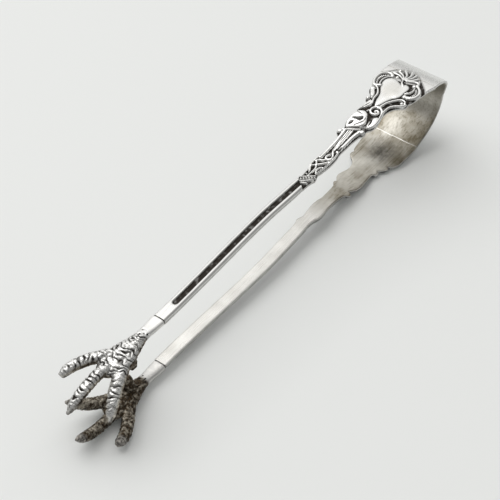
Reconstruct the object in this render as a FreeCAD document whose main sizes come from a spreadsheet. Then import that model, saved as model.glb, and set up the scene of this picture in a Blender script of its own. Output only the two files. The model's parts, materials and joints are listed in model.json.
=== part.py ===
import FreeCAD, Part
import math
import os
import Sketcher
from FreeCAD import Placement, Rotation, Vector

# Claw-foot ice tongs: a springy U-shaped bow, two die-struck arms with a recessed channel,
# and two cast claws, all joined by four thin seams of silver solder.
#
# Everything is drawn in the tongs' own frame, in millimetres: X = 0 just outside the
# bow's crown with the claws towards -X, Y across the arms, and Z = 0 midway between them.
# The upper pieces have their decorated faces towards +Z, and the lower ones are the same
# pieces turned half a turn about X. At the end the whole object is tipped and lifted so
# that it rests on the table, with its origin at the middle of the bottom of its box.

os.makedirs("parts", exist_ok=True)
doc = FreeCAD.newDocument("ice_tongs")

# ---------------------------------------------------------------- driving dimensions

DIMENSIONS = {
    # the bow: a tight round at the crown that runs on into two flatter flanks
    "bow_gap": 13.2,            # half the clear gap inside the arms, where the flanks level out
    "crown_in": 1.9,            # how far the crown lies behind X = 0
    "crown_round": 11.0,        # radius inside the crown
    "crown_turn": 61.3,         # how far round the crown, in degrees, each flank takes over
    "strip": 0.95,              # thickness of the bow's plain strip
    "crown_left": 10.8,         # how far the strip reaches to the left at the crown
    "crown_right": 6.8,         # and to the right there
    "band_left": 6.5,           # how far it reaches to the left where it meets the upper arm
    "band_right": 10.3,         # and to the right: the strip leans sideways on its way round
    "bow_end": 15.0,            # how far the bow's ends lie behind X = 0
    "solder": 0.3,              # thickness of each line of solder
    # the arm's side view
    "struck": 1.5,              # thickness of the struck cartouche
    "stem_gap": 8.5,            # half the gap where the straight stem starts
    "stem_thick": 1.8,          # thickness of the stem
    "level": 3.0,               # the level stretch at the bow's widest, before the sweep
    "sweep_end": 66.0,          # where the S-shaped sweep between bow and stem ends
    "arm_end": 134.0,           # the claw's seam
    "end_gap": 7.9,             # half the gap at that seam
    # the arm's outline, as lobes: where each ends, its waists and its radii on both edges
    "shield_end": 33.8,
    "shield_left": 3.0,
    "shield_right": 5.3,
    "shield_left_round": 45.0,
    "shield_right_round": 43.0,
    "volute_end": 42.6,
    "volute_left": 2.3,
    "volute_right": 3.6,
    "volute_left_round": 40.0,
    "volute_right_round": 10.5,
    "knob_end": 50.9,
    "knob_left": 2.3,
    "knob_right": 2.35,
    "knob_left_round": 25.0,
    "knob_right_round": 22.0,
    "leaf_end": 63.0,
    "leaf_left": 2.05,
    "leaf_right": 2.0,
    "leaf_left_round": 37.0,
    "leaf_right_round": 60.0,
    "bead_end": 71.5,
    "bead_left": 2.2,
    "bead_right": 1.75,
    "bead_left_round": 60.0,
    "bead_right_round": 60.0,
    "stem_end_half": 1.85,
    # the recessed channel along the stem
    "channel_start": 71.5,
    "channel_end": 126.0,
    "channel_wide": 1.6,
    "channel_deep": 0.55,
    # how the tongs lie on the table
    "rest_tilt": 1.865,
}

# What follows from those: each flank's radius and centre, where the arm's sweep starts, and
# the flank's heights at the seam between bow and arm.
WORKED_OUT = {
    "flank_round": "=(bow_gap - crown_round * sin(crown_turn * 1deg)) / (1 - sin(crown_turn * 1deg))",
    "flank_x": "=crown_in + strip + crown_round + (flank_round - crown_round) * cos(crown_turn * 1deg)",
    "flank_z": "=(flank_round - crown_round) * sin(crown_turn * 1deg)",
    "sweep_start": "=flank_x + level",
    "seam_inside": "=sqrt(flank_round^2 - (flank_x - bow_end)^2) - flank_z",
    "seam_outside": "=sqrt((flank_round + strip)^2 - (flank_x - bow_end)^2) - flank_z",
}

sheet = doc.addObject("Spreadsheet::Sheet", "Dims")
for row, (name, value) in enumerate((DIMENSIONS | WORKED_OUT).items(), start=1):
    sheet.set(f"A{row}", name)
    sheet.set(f"B{row}", str(value))
    sheet.setAlias(f"B{row}", name)
doc.recompute()


def dim(name):
    """The number that a named cell holds."""
    return float(sheet.get(name))


# ---------------------------------------------------------------- sketch helpers

def origin_plane(body, role):
    """One of the body's own origin planes, by its role."""
    return next(f for f in body.Origin.OriginFeatures if f.Role == role)


def new_sketch(body, role, name):
    """An empty sketch on one of the body's origin planes."""
    sketch = body.newObject("Sketcher::SketchObject", name)
    sketch.AttachmentSupport = (origin_plane(body, role), "")
    sketch.MapMode = "FlatFace"
    return sketch


def bind(sketch, kind, references, formula):
    """Adds one dimension to a sketch and ties it to a formula of the sheet's cells."""
    value = float(sheet.evalExpression(formula))
    index = sketch.addConstraint(Sketcher.Constraint(kind, *references, value))
    sketch.setExpression(f"Constraints[{index}]", formula)


def arc_between(start, end, radius, turn):
    """The short arc between two points, bulging to the left for turn = 1.

    It is always drawn anticlockwise, so one that bulges to the left starts at its end point.
    """
    middle = (start + end) * 0.5
    half = (end - start).Length / 2
    sagitta = radius - math.sqrt(radius * radius - half * half)
    along = (end - start).normalize()
    side = Vector(-along.y, along.x, 0) * turn
    ends = (end, start) if turn == 1 else (start, end)
    return Part.Arc(ends[0], middle + side * sagitta, ends[1])


def closed_profile(sketch, start, runs):
    """Draws a closed outline: runs are (x, y) for a line and (x, y, radius, turn) for an arc."""

    def point(pair):
        return Vector(*(float(sheet.evalExpression(text)) for text in pair), 0)

    def lies_at(index, end, pair):
        bind(sketch, "DistanceX", (-1, 1, index, end), pair[0])
        bind(sketch, "DistanceY", (-1, 1, index, end), pair[1])

    here = point(start)
    first = None
    previous = None
    for run in runs + [start]:
        there = point(run[:2])
        curved = len(run) == 4
        if curved:
            radius = float(sheet.evalExpression(run[2]))
            index = sketch.addGeometry(arc_between(here, there, radius, run[3]))
            first_end = 2 if run[3] == 1 else 1
        else:
            index = sketch.addGeometry(Part.LineSegment(here, there))
            first_end = 1
        last_end = 3 - first_end
        if previous is None:
            first = (index, first_end)
            lies_at(index, first_end, start)
        else:
            sketch.addConstraint(Sketcher.Constraint("Coincident", *previous, index, first_end))
        if run is start:
            sketch.addConstraint(Sketcher.Constraint("Coincident", index, last_end, *first))
        else:
            lies_at(index, last_end, run[:2])
        if curved:
            bind(sketch, "Radius", (index,), run[2])
        previous = (index, last_end)
        here = there


def new_body(label):
    """An empty PartDesign body with this name."""
    body = doc.addObject("PartDesign::Body", label)
    body.Label = label
    return body


def padded_side_view(body, start, runs, width):
    """A solid of one side view, as wide as asked, centred on the plane between its edges."""
    sketch = new_sketch(body, "XZ_Plane", body.Label + "_side")
    closed_profile(sketch, start, runs)
    pad = body.newObject("PartDesign::Pad", body.Label + "_pad")
    pad.Profile = sketch
    pad.SideType = "Symmetric"
    pad.setExpression("Length", width)
    sketch.Visibility = False
    return pad


def trimmed_to(body, role, corner, far_corner, start, runs):
    """Cuts the body to an outline on one of its planes: a frame whose window is the outline."""
    sketch = new_sketch(body, role, body.Label + "_outline")
    near_x, near_y = corner
    far_x, far_y = far_corner
    closed_profile(sketch, corner, [(near_x, far_y), far_corner, (far_x, near_y)])
    closed_profile(sketch, start, runs)
    doc.recompute()
    before = body.Shape.Volume
    pocket = body.newObject("PartDesign::Pocket", body.Label + "_trim")
    pocket.Profile = sketch
    pocket.SideType = "Symmetric"
    pocket.Type = "ThroughAll"
    doc.recompute()
    if not body.Shape.Volume < before:
        raise RuntimeError(f"trimming {body.Label} removed nothing")


# ---------------------------------------------------------------- the bow

def make_bow():
    """An oval bow of plain strip: tight at the crown, flatter at both flanks, leaning sideways."""
    body = new_body("bow")
    leg = "-Dims.bow_end"
    inner = "Dims.crown_round"
    outer = "(Dims.crown_round + Dims.strip)"
    flank_inner = "Dims.flank_round"
    flank_outer = "(Dims.flank_round + Dims.strip)"
    turn = "(Dims.crown_turn * 1deg)"

    def on_crown(radius):
        return f"-Dims.crown_in - {outer} + {radius} * cos({turn})", f"{radius} * sin({turn})"

    def below(point):
        return point[0], f"-({point[1]})"

    outside = on_crown(outer)
    inside = on_crown(inner)
    runs = [
        outside + (flank_outer, 1),
        below(outside) + (outer, 1),
        (leg, "-Dims.seam_outside", flank_outer, 1),
        (leg, "-Dims.seam_inside"),
        below(inside) + (flank_inner, -1),
        inside + (inner, -1),
        (leg, "Dims.seam_inside", flank_inner, -1),
    ]
    padded_side_view(body, (leg, "Dims.seam_outside"), runs, "3 * Dims.crown_left")
    window = [
        ("Dims.crown_left", "0"),
        ("Dims.band_right", "-Dims.seam_outside"),
        ("-Dims.band_left", "-Dims.seam_outside"),
        ("-Dims.crown_right", "0"),
        ("-Dims.band_right", "Dims.seam_outside"),
    ]
    trimmed_to(body, "YZ_Plane", ("20", "20"), ("-20", "-20"), ("Dims.band_left", "Dims.seam_outside"), window)
    return body


# ---------------------------------------------------------------- the arms

def make_arm(label):
    """One struck arm: an S-shaped side view cut to a lobed outline, with its channel."""
    body = new_body(label)
    start = "-(Dims.bow_end + Dims.solder)"
    step = "-(Dims.bow_end + Dims.solder + 2)"
    level_start = "-Dims.flank_x"
    sweep_start = "-Dims.sweep_start"
    sweep_middle = "-(Dims.sweep_start + Dims.sweep_end) / 2"
    sweep_end = "-Dims.sweep_end"
    end = "-Dims.arm_end"
    half_run = "((Dims.sweep_end - Dims.sweep_start) / 2)"
    inner_drop = "((Dims.bow_gap - Dims.stem_gap) / 2)"
    outer_drop = "((Dims.bow_gap + Dims.struck - Dims.stem_gap - Dims.stem_thick) / 2)"
    inner_round = f"({half_run}^2 + {inner_drop}^2) / (2 * {inner_drop})"
    outer_round = f"({half_run}^2 + {outer_drop}^2) / (2 * {outer_drop})"
    outer_top = "Dims.bow_gap + Dims.struck"
    outer_stem = "Dims.stem_gap + Dims.stem_thick"

    def on_flank(x, thickness):
        """The height of a point of the flank, that far outside its inner curve."""
        return f"sqrt((Dims.flank_round + {thickness})^2 - (Dims.flank_x + {x})^2) - Dims.flank_z"

    side = [
        (step, on_flank(step, "Dims.struck")),
        (level_start, outer_top, "(Dims.flank_round + Dims.struck)", -1),
        (sweep_start, outer_top),
        (sweep_middle, f"{outer_top} - {outer_drop}", outer_round, -1),
        (sweep_end, outer_stem, outer_round, 1),
        (end, "Dims.end_gap + Dims.stem_thick"),
        (end, "Dims.end_gap"),
        (sweep_end, "Dims.stem_gap"),
        (sweep_middle, f"Dims.stem_gap + {inner_drop}", inner_round, -1),
        (sweep_start, "Dims.bow_gap", inner_round, 1),
        (level_start, "Dims.bow_gap"),
        (start, on_flank(start, "0"), "Dims.flank_round", 1),
    ]
    padded_side_view(body, (start, on_flank(start, "Dims.strip")), side, "3 * Dims.crown_left")

    lobes = ["shield", "volute", "knob", "leaf", "bead"]
    left = []
    right = []
    for lobe in lobes:
        x = f"-Dims.{lobe}_end"
        left.append((x, f"Dims.{lobe}_left", f"Dims.{lobe}_left_round", -1))
        right.append((x, f"-Dims.{lobe}_right", f"Dims.{lobe}_right_round", -1))
    left_edge = left + [(end, "Dims.stem_end_half"), (end, "-Dims.stem_end_half")]
    # the right edge runs back from the stem, so each arc there ends where its lobe starts
    right_edge = [right[-1][:2]]
    starts = [r[:2] for r in right[-2::-1]] + [(start, "-Dims.band_right")]
    for begin, lobe in zip(starts, right[::-1]):
        right_edge.append(begin + lobe[2:])
    outline = left_edge + right_edge
    trimmed_to(body, "XY_Plane", ("5", "20"), ("-150", "-20"), (start, "Dims.band_left"), outline)

    slope = "((Dims.stem_gap - Dims.end_gap) / (Dims.arm_end - Dims.sweep_end))"
    top_at = f"Dims.stem_gap + Dims.stem_thick - {slope} * (%s - Dims.sweep_end)"
    near = top_at % "Dims.channel_start"
    far = top_at % "Dims.channel_end"
    channel = new_sketch(body, "XZ_Plane", label + "_channel_side")
    closed_profile(
        channel,
        ("-Dims.channel_start", f"{near} + 1"),
        [
            ("-Dims.channel_end", f"{far} + 1"),
            ("-Dims.channel_end", f"{far} - Dims.channel_deep"),
            ("-Dims.channel_start", f"{near} - Dims.channel_deep"),
        ],
    )
    doc.recompute()
    before = body.Shape.Volume
    pocket = body.newObject("PartDesign::Pocket", label + "_channel")
    pocket.Profile = channel
    pocket.SideType = "Symmetric"
    pocket.setExpression("Length", "Dims.channel_wide")
    doc.recompute()
    if not body.Shape.Volume < before:
        raise RuntimeError(f"the channel of {label} removed nothing")
    return body


# ---------------------------------------------------------------- the claws

# The claw's own frame has its origin at the middle of the stem's end, -X ahead of the stem
# and +Z towards the back of the claw. The palm is a run of ellipses: x, half width, half
# height, and the middle's y and z.
PALM = [
    (0.0, 2.15, 1.15, 0.0, 0.0),
    (-5.0, 1.9, 1.3, 0.0, 0.0),
    (-9.5, 2.5, 1.8, 0.0, -0.2),
    (-14.0, 3.9, 1.9, 0.0, -0.3),
    (-18.0, 4.1, 1.7, 0.2, -0.6),
    (-21.5, 2.6, 1.2, 0.6, -1.0),
]

# Each toe bends from a root inside the palm, over a knuckle, to its nail's tip, and has a
# radius at each of these and halfway between them.
TOES = {
    "side_toe": ((-14.5, 1.5, -0.7), (-22.2, 6.8, -0.7), (-28.6, 9.0, -1.6), (1.9, 1.8, 1.7, 1.6, 0.8)),
    "middle_toe": ((-17.0, 0.8, -0.7), (-28.4, 0.9, -0.9), (-35.4, 1.1, -4.6), (1.9, 1.7, 1.6, 1.4, 0.4)),
    "near_toe": ((-15.0, -1.6, -0.7), (-23.8, -4.6, -3.5), (-29.4, -7.4, -7.6), (1.9, 1.8, 1.7, 1.4, 0.4)),
    "spur": ((-11.5, 0.0, -0.4), (-12.4, -0.5, -3.4), (-12.4, -1.0, -6.3), (2.0, 1.9, 1.75, 1.5, 0.9)),
}


def ellipse_wire(x, half_width, half_height, y, z):
    """An ellipse across the claw: its long axis across, unless it is taller than wide."""
    curve = Part.Ellipse(Vector(0, 0, 0), half_width, half_height)
    wire = Part.Wire([curve.toShape()])
    wire.Placement = Placement(Vector(x, y, z), Rotation(Vector(0, 1, 0), Vector(0, 0, 1), Vector(1, 0, 0)))
    return wire


def toe_solid(root, knuckle, tip, radii):
    """A tapering finger: circles square to the arc through root, knuckle and tip."""
    arc = Part.Arc(Vector(*root), Vector(*knuckle), Vector(*tip))
    circles = []
    for i, radius in enumerate(radii):
        at = arc.FirstParameter + (arc.LastParameter - arc.FirstParameter) * i / (len(radii) - 1)
        circle = Part.Circle(arc.value(at), arc.tangent(at)[0], radius)
        circles.append(Part.Wire([circle.toShape()]))
    return Part.makeLoft(circles, True)


def make_claw(label):
    """The cast claw: a palm and four bent toes fused into one solid."""
    palm = Part.makeLoft([ellipse_wire(*station) for station in PALM], True)
    toes = [toe_solid(*toe) for toe in TOES.values()]
    shape = palm.multiFuse(toes).removeSplitter()
    claw = doc.addObject("Part::Feature", label)
    claw.Label = label
    claw.Shape = shape.Solids[0] if len(shape.Solids) == 1 else shape
    return claw


# ---------------------------------------------------------------- the solder

def make_solder(label, width, thickness):
    """A thin slab of solder that fills the joint between two pieces' ends."""
    slab = doc.addObject("Part::Box", label)
    slab.Label = label
    slab.setExpression("Length", "Dims.solder")
    slab.setExpression("Width", width)
    slab.setExpression("Height", thickness)
    return slab


# ---------------------------------------------------------------- putting it together

UPRIGHT = Placement()
TURNED_OVER = Placement(Vector(0, 0, 0), Rotation(Vector(1, 0, 0), 180))
CLAW_PLACE = Placement(
    Vector(-dim("arm_end") - dim("solder"), 0, dim("end_gap") + dim("stem_thick") / 2), Rotation()
)
BOW_SOLDER_PLACE = Placement(
    Vector(-dim("bow_end") - dim("solder"), -dim("band_right"), dim("seam_inside")), Rotation()
)
CLAW_SOLDER_PLACE = Placement(
    Vector(-dim("arm_end") - dim("solder"), -dim("stem_end_half"), dim("end_gap")), Rotation()
)

placed = [(make_bow(), UPRIGHT)]
for side, turn in (("upper", UPRIGHT), ("lower", TURNED_OVER)):
    placed.append((make_arm(f"{side}_arm"), turn))
    placed.append((make_claw(f"{side}_claw"), turn * CLAW_PLACE))
    bow_solder = make_solder(
        f"{side}_bow_solder", "Dims.band_left + Dims.band_right", "Dims.seam_outside - Dims.seam_inside"
    )
    placed.append((bow_solder, turn * BOW_SOLDER_PLACE))
    claw_solder = make_solder(f"{side}_claw_solder", "2 * Dims.stem_end_half", "Dims.stem_thick")
    placed.append((claw_solder, turn * CLAW_SOLDER_PLACE))


def box_of_all(tipped):
    """The whole object's box once each piece is placed and then moved by the given move."""
    box = FreeCAD.BoundBox()
    for piece, place in placed:
        piece.Placement = tipped * place
        box.add(piece.Shape.optimalBoundingBox(False, False))
    return box


doc.recompute()
tipped = Placement(Vector(0, 0, 0), Rotation(Vector(0, 1, 0), -dim("rest_tilt")))
box = box_of_all(tipped)
at_origin = Placement(Vector(-box.Center.x, -box.Center.y, -box.ZMin), Rotation())
box = box_of_all(at_origin * tipped)
doc.recompute()

for item in doc.Objects:
    if "Invalid" in item.State or "Error" in item.State:
        raise RuntimeError(f"{item.Label} failed: {item.State}")
for piece, _ in placed:
    shape = piece.Shape
    if shape.isNull() or not shape.isValid() or len(shape.Solids) != 1:
        raise RuntimeError(f"{piece.Label} is not one valid solid")
for piece, _ in placed:
    piece.Shape.exportStep(f"parts/{piece.Label}.step")
    low = piece.Shape.optimalBoundingBox(False, False)
    print(f"{piece.Label:18s} {piece.Shape.Volume:9.1f} mm3  lowest {low.ZMin:6.2f}")
print(f"whole: {box.XLength:.1f} x {box.YLength:.1f} x {box.ZLength:.1f} mm")
crown = (at_origin * tipped).multVec(Vector(0, 0, 0))
print(f"crown at {crown.x:.2f}, {crown.y:.2f}, {crown.z:.2f}")
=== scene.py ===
import json
import math
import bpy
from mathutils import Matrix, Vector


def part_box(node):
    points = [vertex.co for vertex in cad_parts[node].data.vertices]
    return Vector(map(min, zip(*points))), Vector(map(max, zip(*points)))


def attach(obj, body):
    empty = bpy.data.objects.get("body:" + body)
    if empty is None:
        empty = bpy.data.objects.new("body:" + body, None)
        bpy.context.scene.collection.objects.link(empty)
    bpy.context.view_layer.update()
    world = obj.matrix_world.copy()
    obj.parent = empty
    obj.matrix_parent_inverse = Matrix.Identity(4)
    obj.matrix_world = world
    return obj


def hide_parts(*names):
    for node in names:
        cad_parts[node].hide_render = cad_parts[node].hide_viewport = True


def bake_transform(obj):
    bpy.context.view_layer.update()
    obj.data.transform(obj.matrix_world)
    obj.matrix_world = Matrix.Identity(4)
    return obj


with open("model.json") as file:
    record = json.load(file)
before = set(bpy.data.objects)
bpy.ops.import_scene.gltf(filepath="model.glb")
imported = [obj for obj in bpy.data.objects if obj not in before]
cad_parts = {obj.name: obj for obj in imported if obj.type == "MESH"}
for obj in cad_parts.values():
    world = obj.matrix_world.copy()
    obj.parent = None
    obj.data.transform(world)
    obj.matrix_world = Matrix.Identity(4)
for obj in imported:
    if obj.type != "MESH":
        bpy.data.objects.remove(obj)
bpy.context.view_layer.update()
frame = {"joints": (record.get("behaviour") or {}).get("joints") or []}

from types import SimpleNamespace

import bmesh
import bpy
import numpy as np
from bpy.props import FloatProperty, FloatVectorProperty, PointerProperty
from mathutils import Matrix

bl_info = {
    "name": "Claw-foot ice tongs",
    "version": (1, 0, 0),
    "blender": (4, 5, 0),
    "location": "View3D > Sidebar > Ice tongs",
    "description": "Silver ice tongs: a spring bow, two struck arms and two cast claws",
    "category": "Object",
}

# The tongs are drawn in millimetres in their own frame: X = 0 just outside the bow's crown
# with the claws towards -X, Y across, and Z = 0 midway between the arms. Every shape is
# the upper one, and the lower one is the same turned half a turn about X.

MM = 0.001
CROWN_IN = 1.9
TURNED_OVER = np.array([1.0, -1.0, -1.0])


# ---------------------------------------------------------------- sizes and colours

def length(name, millimetres, description):
    """A size property given in millimetres."""
    return FloatProperty(name=name, description=description, default=millimetres * MM, unit="LENGTH")


def angle(name, degrees, description):
    """An angle property given in degrees."""
    return FloatProperty(name=name, description=description, default=math.radians(degrees), subtype="ANGLE")


def share(name, value, description):
    """A property from 0 to 1."""
    return FloatProperty(name=name, description=description, default=value, min=0, max=1, subtype="FACTOR")


def colour(name, value, description):
    """A colour property."""
    return FloatVectorProperty(name=name, description=description, default=value, size=3, subtype="COLOR")


class TongsSizes(bpy.types.PropertyGroup):
    """The side view that the bow and the arms share, and the widths of the plain strip."""

    crown_in: length("Crown in", CROWN_IN, "How far the crown lies behind X = 0")
    crown_round: length("Crown round", 11.0, "Radius inside the crown of the bow")
    crown_turn: angle("Crown turn", 61.3, "How far round the crown each flank takes over")
    bow_gap: length("Bow gap", 13.2, "Half the clear gap where the flanks level out")
    strip: length("Strip", 0.95, "Thickness of the bow's plain strip")
    crown_left: length("Crown left", 10.8, "How far the strip reaches left at the crown")
    crown_right: length("Crown right", 6.8, "How far the strip reaches right at the crown")
    band_left: length("Band left", 6.5, "How far the strip reaches left at the upper seam")
    band_right: length("Band right", 10.3, "How far the strip reaches right at the upper seam")
    bow_end: length("Bow end", 15.0, "Where the bow ends and the solder starts")
    solder: length("Solder", 0.3, "Thickness of each line of solder")
    struck: length("Struck", 1.5, "Thickness of the struck cartouche")
    level: length("Level", 3.0, "The level stretch before the arm's sweep")
    sweep_end: length("Sweep end", 66.0, "Where the sweep ends and the stem starts")
    stem_gap: length("Stem gap", 8.5, "Half the gap where the stem starts")
    stem_thick: length("Stem thickness", 1.8, "Thickness of the stem")
    arm_end: length("Arm end", 134.0, "Where the stem meets the claw's solder")
    end_gap: length("End gap", 7.9, "Half the gap at the claw's seam")


class ReliefSizes(bpy.types.PropertyGroup):
    """The struck ornament on the arms' outer faces."""

    tip: length("Shell's tip", 12.4, "How far from the crown the shell's tip lies")
    ornament_end: length("Ornament's end", 75.0, "Where the fine grid of the ornament stops")
    fine: length("Fine step", 0.125, "Spacing of the grid over the ornament")
    coarse: length("Coarse step", 0.4, "Spacing of the grid along the stem")
    ground: length("Ground", -0.72, "Depth of the dark ground between the ornaments")
    band: length("Band", -0.55, "Depth of the plain band beside the cartouche")
    channel_start: length("Channel start", 70.5, "Where the stem's channel starts")
    channel_end: length("Channel end", 128.0, "Where it ends")
    channel_half: length("Channel half width", 0.78, "Half the channel's width")
    channel_deep: length("Channel depth", 0.6, "Depth of the channel")


class ClawSizes(bpy.types.PropertyGroup):
    """The cast claws."""

    voxel: length("Voxel", 0.13, "Cell size that the palm and toes are merged at")
    wrinkle: length("Wrinkle", 0.3, "Depth of the wrinkles across the toes")
    pitch: length("Wrinkle spacing", 1.35, "Distance from one wrinkle to the next")


class SilverColours(bpy.types.PropertyGroup):
    """The colours and finishes of the silver."""

    bright: colour("Bright silver", (0.83, 0.825, 0.805), "Polished silver")
    satin: colour("Satin", (0.62, 0.60, 0.55), "The dull inner faces where they are cleanest")
    tarnish: colour("Tarnish", (0.20, 0.175, 0.125), "Warm brown-grey tarnish on the inner faces")
    # Near-black: oxidised silver in the recesses, and also painted shade and painted dark reflections on
    # edges, walls and along the cartouche's brow.
    oxide_and_shade: colour("Recess", (0.030, 0.026, 0.022), "Oxidised silver in the recesses")
    worn: colour("Worn patina", (0.60, 0.55, 0.46), "The claws' sides where they are cleanest")
    patina: colour("Patina", (0.06, 0.042, 0.025), "Brown patina inside the claws")
    floor: colour("Floor", (0.80, 0.81, 0.80), "The pale surface that the tongs lie on")


class StageSizes(bpy.types.PropertyGroup):
    """The camera, as it stands to the tongs' own frame."""

    look_at: length("Look at", -70.0, "The point of the tongs' axis that the camera is aimed from")
    azimuth: angle("Azimuth", -55.45, "How far round the tongs the camera stands")
    elevation: angle("Elevation", 45.05, "How high it stands above their mid-plane")
    roll: angle("Roll", 1.84, "How far it is rolled")
    aside: length("Aside", 13.95, "How far the camera stands to its own left of that point")
    lowered: length("Lowered", 12.07, "How far it stands below that point, along its own up axis")
    away: length("Away", 471.26, "Its distance")
    lens: FloatProperty(name="Lens", description="Focal length in millimetres", default=119.77)


def in_millimetres(group):
    """A property group's lengths in millimetres and its other values as they are."""
    values = {}
    for key in group.__annotations__:
        value = getattr(group, key)
        unit = group.bl_rna.properties[key].unit
        values[key] = value / MM if unit == "LENGTH" else value
    return SimpleNamespace(**values)


def sizes():
    """All the sizes of the current scene."""
    scene = bpy.context.scene
    return (
        with_flanks(in_millimetres(scene.tongs_sizes)),
        in_millimetres(scene.relief_sizes),
        in_millimetres(scene.claw_sizes),
    )


# ---------------------------------------------------------------- the tongs' own frame

def tongs_to_row():
    """The matrix from the tongs' frame in millimetres to the row's frame in metres.

    The two hinges stand level with each other on either side of the mid-plane, so the line
    between them is the tongs' Z. The bow's far end gives where the crown is.
    """
    hinges = {joint["name"]: np.array(joint["pos_m"]) for joint in frame["joints"]}
    up = hinges["upper_flex"] - hinges["lower_flex"]
    up /= np.linalg.norm(up)
    along = np.cross([0.0, 1.0, 0.0], up)
    middle = (hinges["upper_flex"] + hinges["lower_flex"]) / 2
    crown_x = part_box("bow")[1][0]
    crown = middle + along * (crown_x - middle[0]) / along[0]
    turn = np.column_stack([along, [0.0, 1.0, 0.0], up])
    return turn, crown + along * CROWN_IN * MM


TURN, START = tongs_to_row()


def to_row(points):
    """Points of the tongs' frame, in millimetres, as points of the row's frame."""
    return np.asarray(points) * MM @ TURN.T + START


# ---------------------------------------------------------------- lines of the side view

def with_flanks(s):
    """Adds the flanks of the bow: arcs that touch the crown's arc and end level.

    radius = (gap - crown sin turn) / (1 - sin turn); the centre is (radius - crown) beyond
    the crown's centre, in the direction of the turn.
    """
    sine = math.sin(s.crown_turn)
    s.flank_round = (s.bow_gap - s.crown_round * sine) / (1 - sine)
    reach = s.flank_round - s.crown_round
    s.flank_x = s.crown_in + s.strip + s.crown_round + reach * math.cos(s.crown_turn)
    s.flank_z = reach * sine
    s.sweep_start = s.flank_x + s.level
    return s


def bow_point(s, share_of_turn, depth):
    """x and z on the upper half of the bow, depth outside its inner curve.

    The normal's angle is a share of its angle at the seam, where x = -bow_end. The point is
    centre + (radius + depth) (cos angle, sin angle), on the crown's arc up to the turn and
    on the flank's arc after it.
    """
    last = np.arccos((s.flank_x - s.bow_end) / (s.flank_round + depth))
    turned = share_of_turn * last
    on_crown = turned < s.crown_turn
    radius = np.where(on_crown, s.crown_round, s.flank_round) + depth
    crown_x = s.crown_in + s.strip + s.crown_round
    x = np.where(on_crown, -crown_x, -s.flank_x) + radius * np.cos(turned)
    z = np.where(on_crown, 0.0, -s.flank_z) + radius * np.sin(turned)
    return x, z


def arm_height(s, back, outside):
    """z of the upper arm's inner (outside = 0) or outer (1) face, that far behind the crown.

    The flank's arc, then a level stretch, then two equal arcs that make the sweep, then the
    straight stem.
    """
    flank = np.sqrt(np.maximum((s.flank_round + outside * s.struck) ** 2 - (s.flank_x - back) ** 2, 0))
    high = s.bow_gap + outside * s.struck
    low = s.stem_gap + outside * s.stem_thick
    end = s.end_gap + outside * s.stem_thick
    half_run = (s.sweep_end - s.sweep_start) / 2
    half_drop = (high - low) / 2
    radius = (half_run ** 2 + half_drop ** 2) / (2 * half_drop)
    middle = (s.sweep_start + s.sweep_end) / 2
    upper = high - radius + np.sqrt(np.maximum(radius ** 2 - (back - s.sweep_start) ** 2, 0))
    lower = low + radius - np.sqrt(np.maximum(radius ** 2 - (s.sweep_end - back) ** 2, 0))
    stem = low + (end - low) * (back - s.sweep_end) / (s.arm_end - s.sweep_end)
    stretches = [back < s.flank_x, back < s.sweep_start, back < middle, back < s.sweep_end]
    return np.select(stretches, [flank - s.flank_z, high, upper, lower], stem)


def band_reach(s, z, side):
    """How far the leaning strip reaches left and right at a height, in straight lines.

    The lower half is drawn the upper way up too, so at the crown its left and right change places.
    """
    top = math.sqrt((s.flank_round + s.strip) ** 2 - (s.flank_x - s.bow_end) ** 2) - s.flank_z
    t = np.clip(z / top, 0, 1)
    left, right = (s.crown_left, s.crown_right) if side == "upper" else (s.crown_right, s.crown_left)
    return left + (s.band_left - left) * t, right + (s.band_right - right) * t


# ---------------------------------------------------------------- making meshes

def grid_faces(rows, around):
    """Quads of a tube of rows x around points, closed around, with one face for each end."""
    row = np.arange(rows - 1)[:, None] * around
    here = np.arange(around)[None, :]
    there = (here + 1) % around
    quads = np.stack([row + here, row + there, row + around + there, row + around + here], axis=-1)
    faces = quads.reshape(-1, 4).tolist()
    faces.append(list(range(around))[::-1])
    faces.append(list(range((rows - 1) * around, rows * around)))
    return faces


def new_piece(name, points, faces, attributes, material, merge=0.0):
    """A mesh object from points of the tongs' frame, smooth, with faces outwards."""
    mesh = bpy.data.meshes.new(name)
    mesh.from_pydata(to_row(points).astype(np.float32), [], faces)
    for key, values in attributes.items():
        layer = mesh.attributes.new(key, "FLOAT", "POINT")
        layer.data.foreach_set("value", np.asarray(values, np.float32).ravel())
    work = bmesh.new()
    work.from_mesh(mesh)
    if merge:
        bmesh.ops.remove_doubles(work, verts=work.verts, dist=merge * MM)
        bmesh.ops.dissolve_degenerate(work, edges=work.edges, dist=merge * MM)
    bmesh.ops.triangulate(work, faces=[f for f in work.faces if len(f.verts) > 4])
    bmesh.ops.recalc_face_normals(work, faces=work.faces)
    work.to_mesh(mesh)
    work.free()
    mesh.validate()
    mesh.set_sharp_from_angle(angle=math.radians(55))
    mesh.materials.append(material)
    piece = bpy.data.objects.new(name, mesh)
    bpy.context.scene.collection.objects.link(piece)
    return piece


def ripple(points, size, seed):
    """A smooth uneven value of about -1 to 1: eight sine waves in scattered directions."""
    total = np.zeros(points.shape[:-1])
    for i in range(8):
        turn = 2.399963 * (i + 7 * seed)
        rise = -0.9 + 0.257 * i
        flat = math.sqrt(1 - rise * rise)
        direction = np.array([flat * math.cos(turn), flat * math.sin(turn), rise])
        total += np.sin(points @ direction * (2 * math.pi / size) * (0.75 + 0.08 * i) + 1.7 * i + seed)
    return total / 3.2


# ---------------------------------------------------------------- silver

def mix_colour(tree, factor, one, two):
    """A colour between two, by a factor socket."""
    mix = tree.nodes.new("ShaderNodeMix")
    mix.data_type = "RGBA"
    tree.links.new(factor, mix.inputs["Factor"])
    for socket, value in ((mix.inputs[6], one), (mix.inputs[7], two)):
        if isinstance(value, bpy.types.NodeSocket):
            tree.links.new(value, socket)
        else:
            socket.default_value = (*value, 1)
    return mix.outputs[2]


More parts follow.
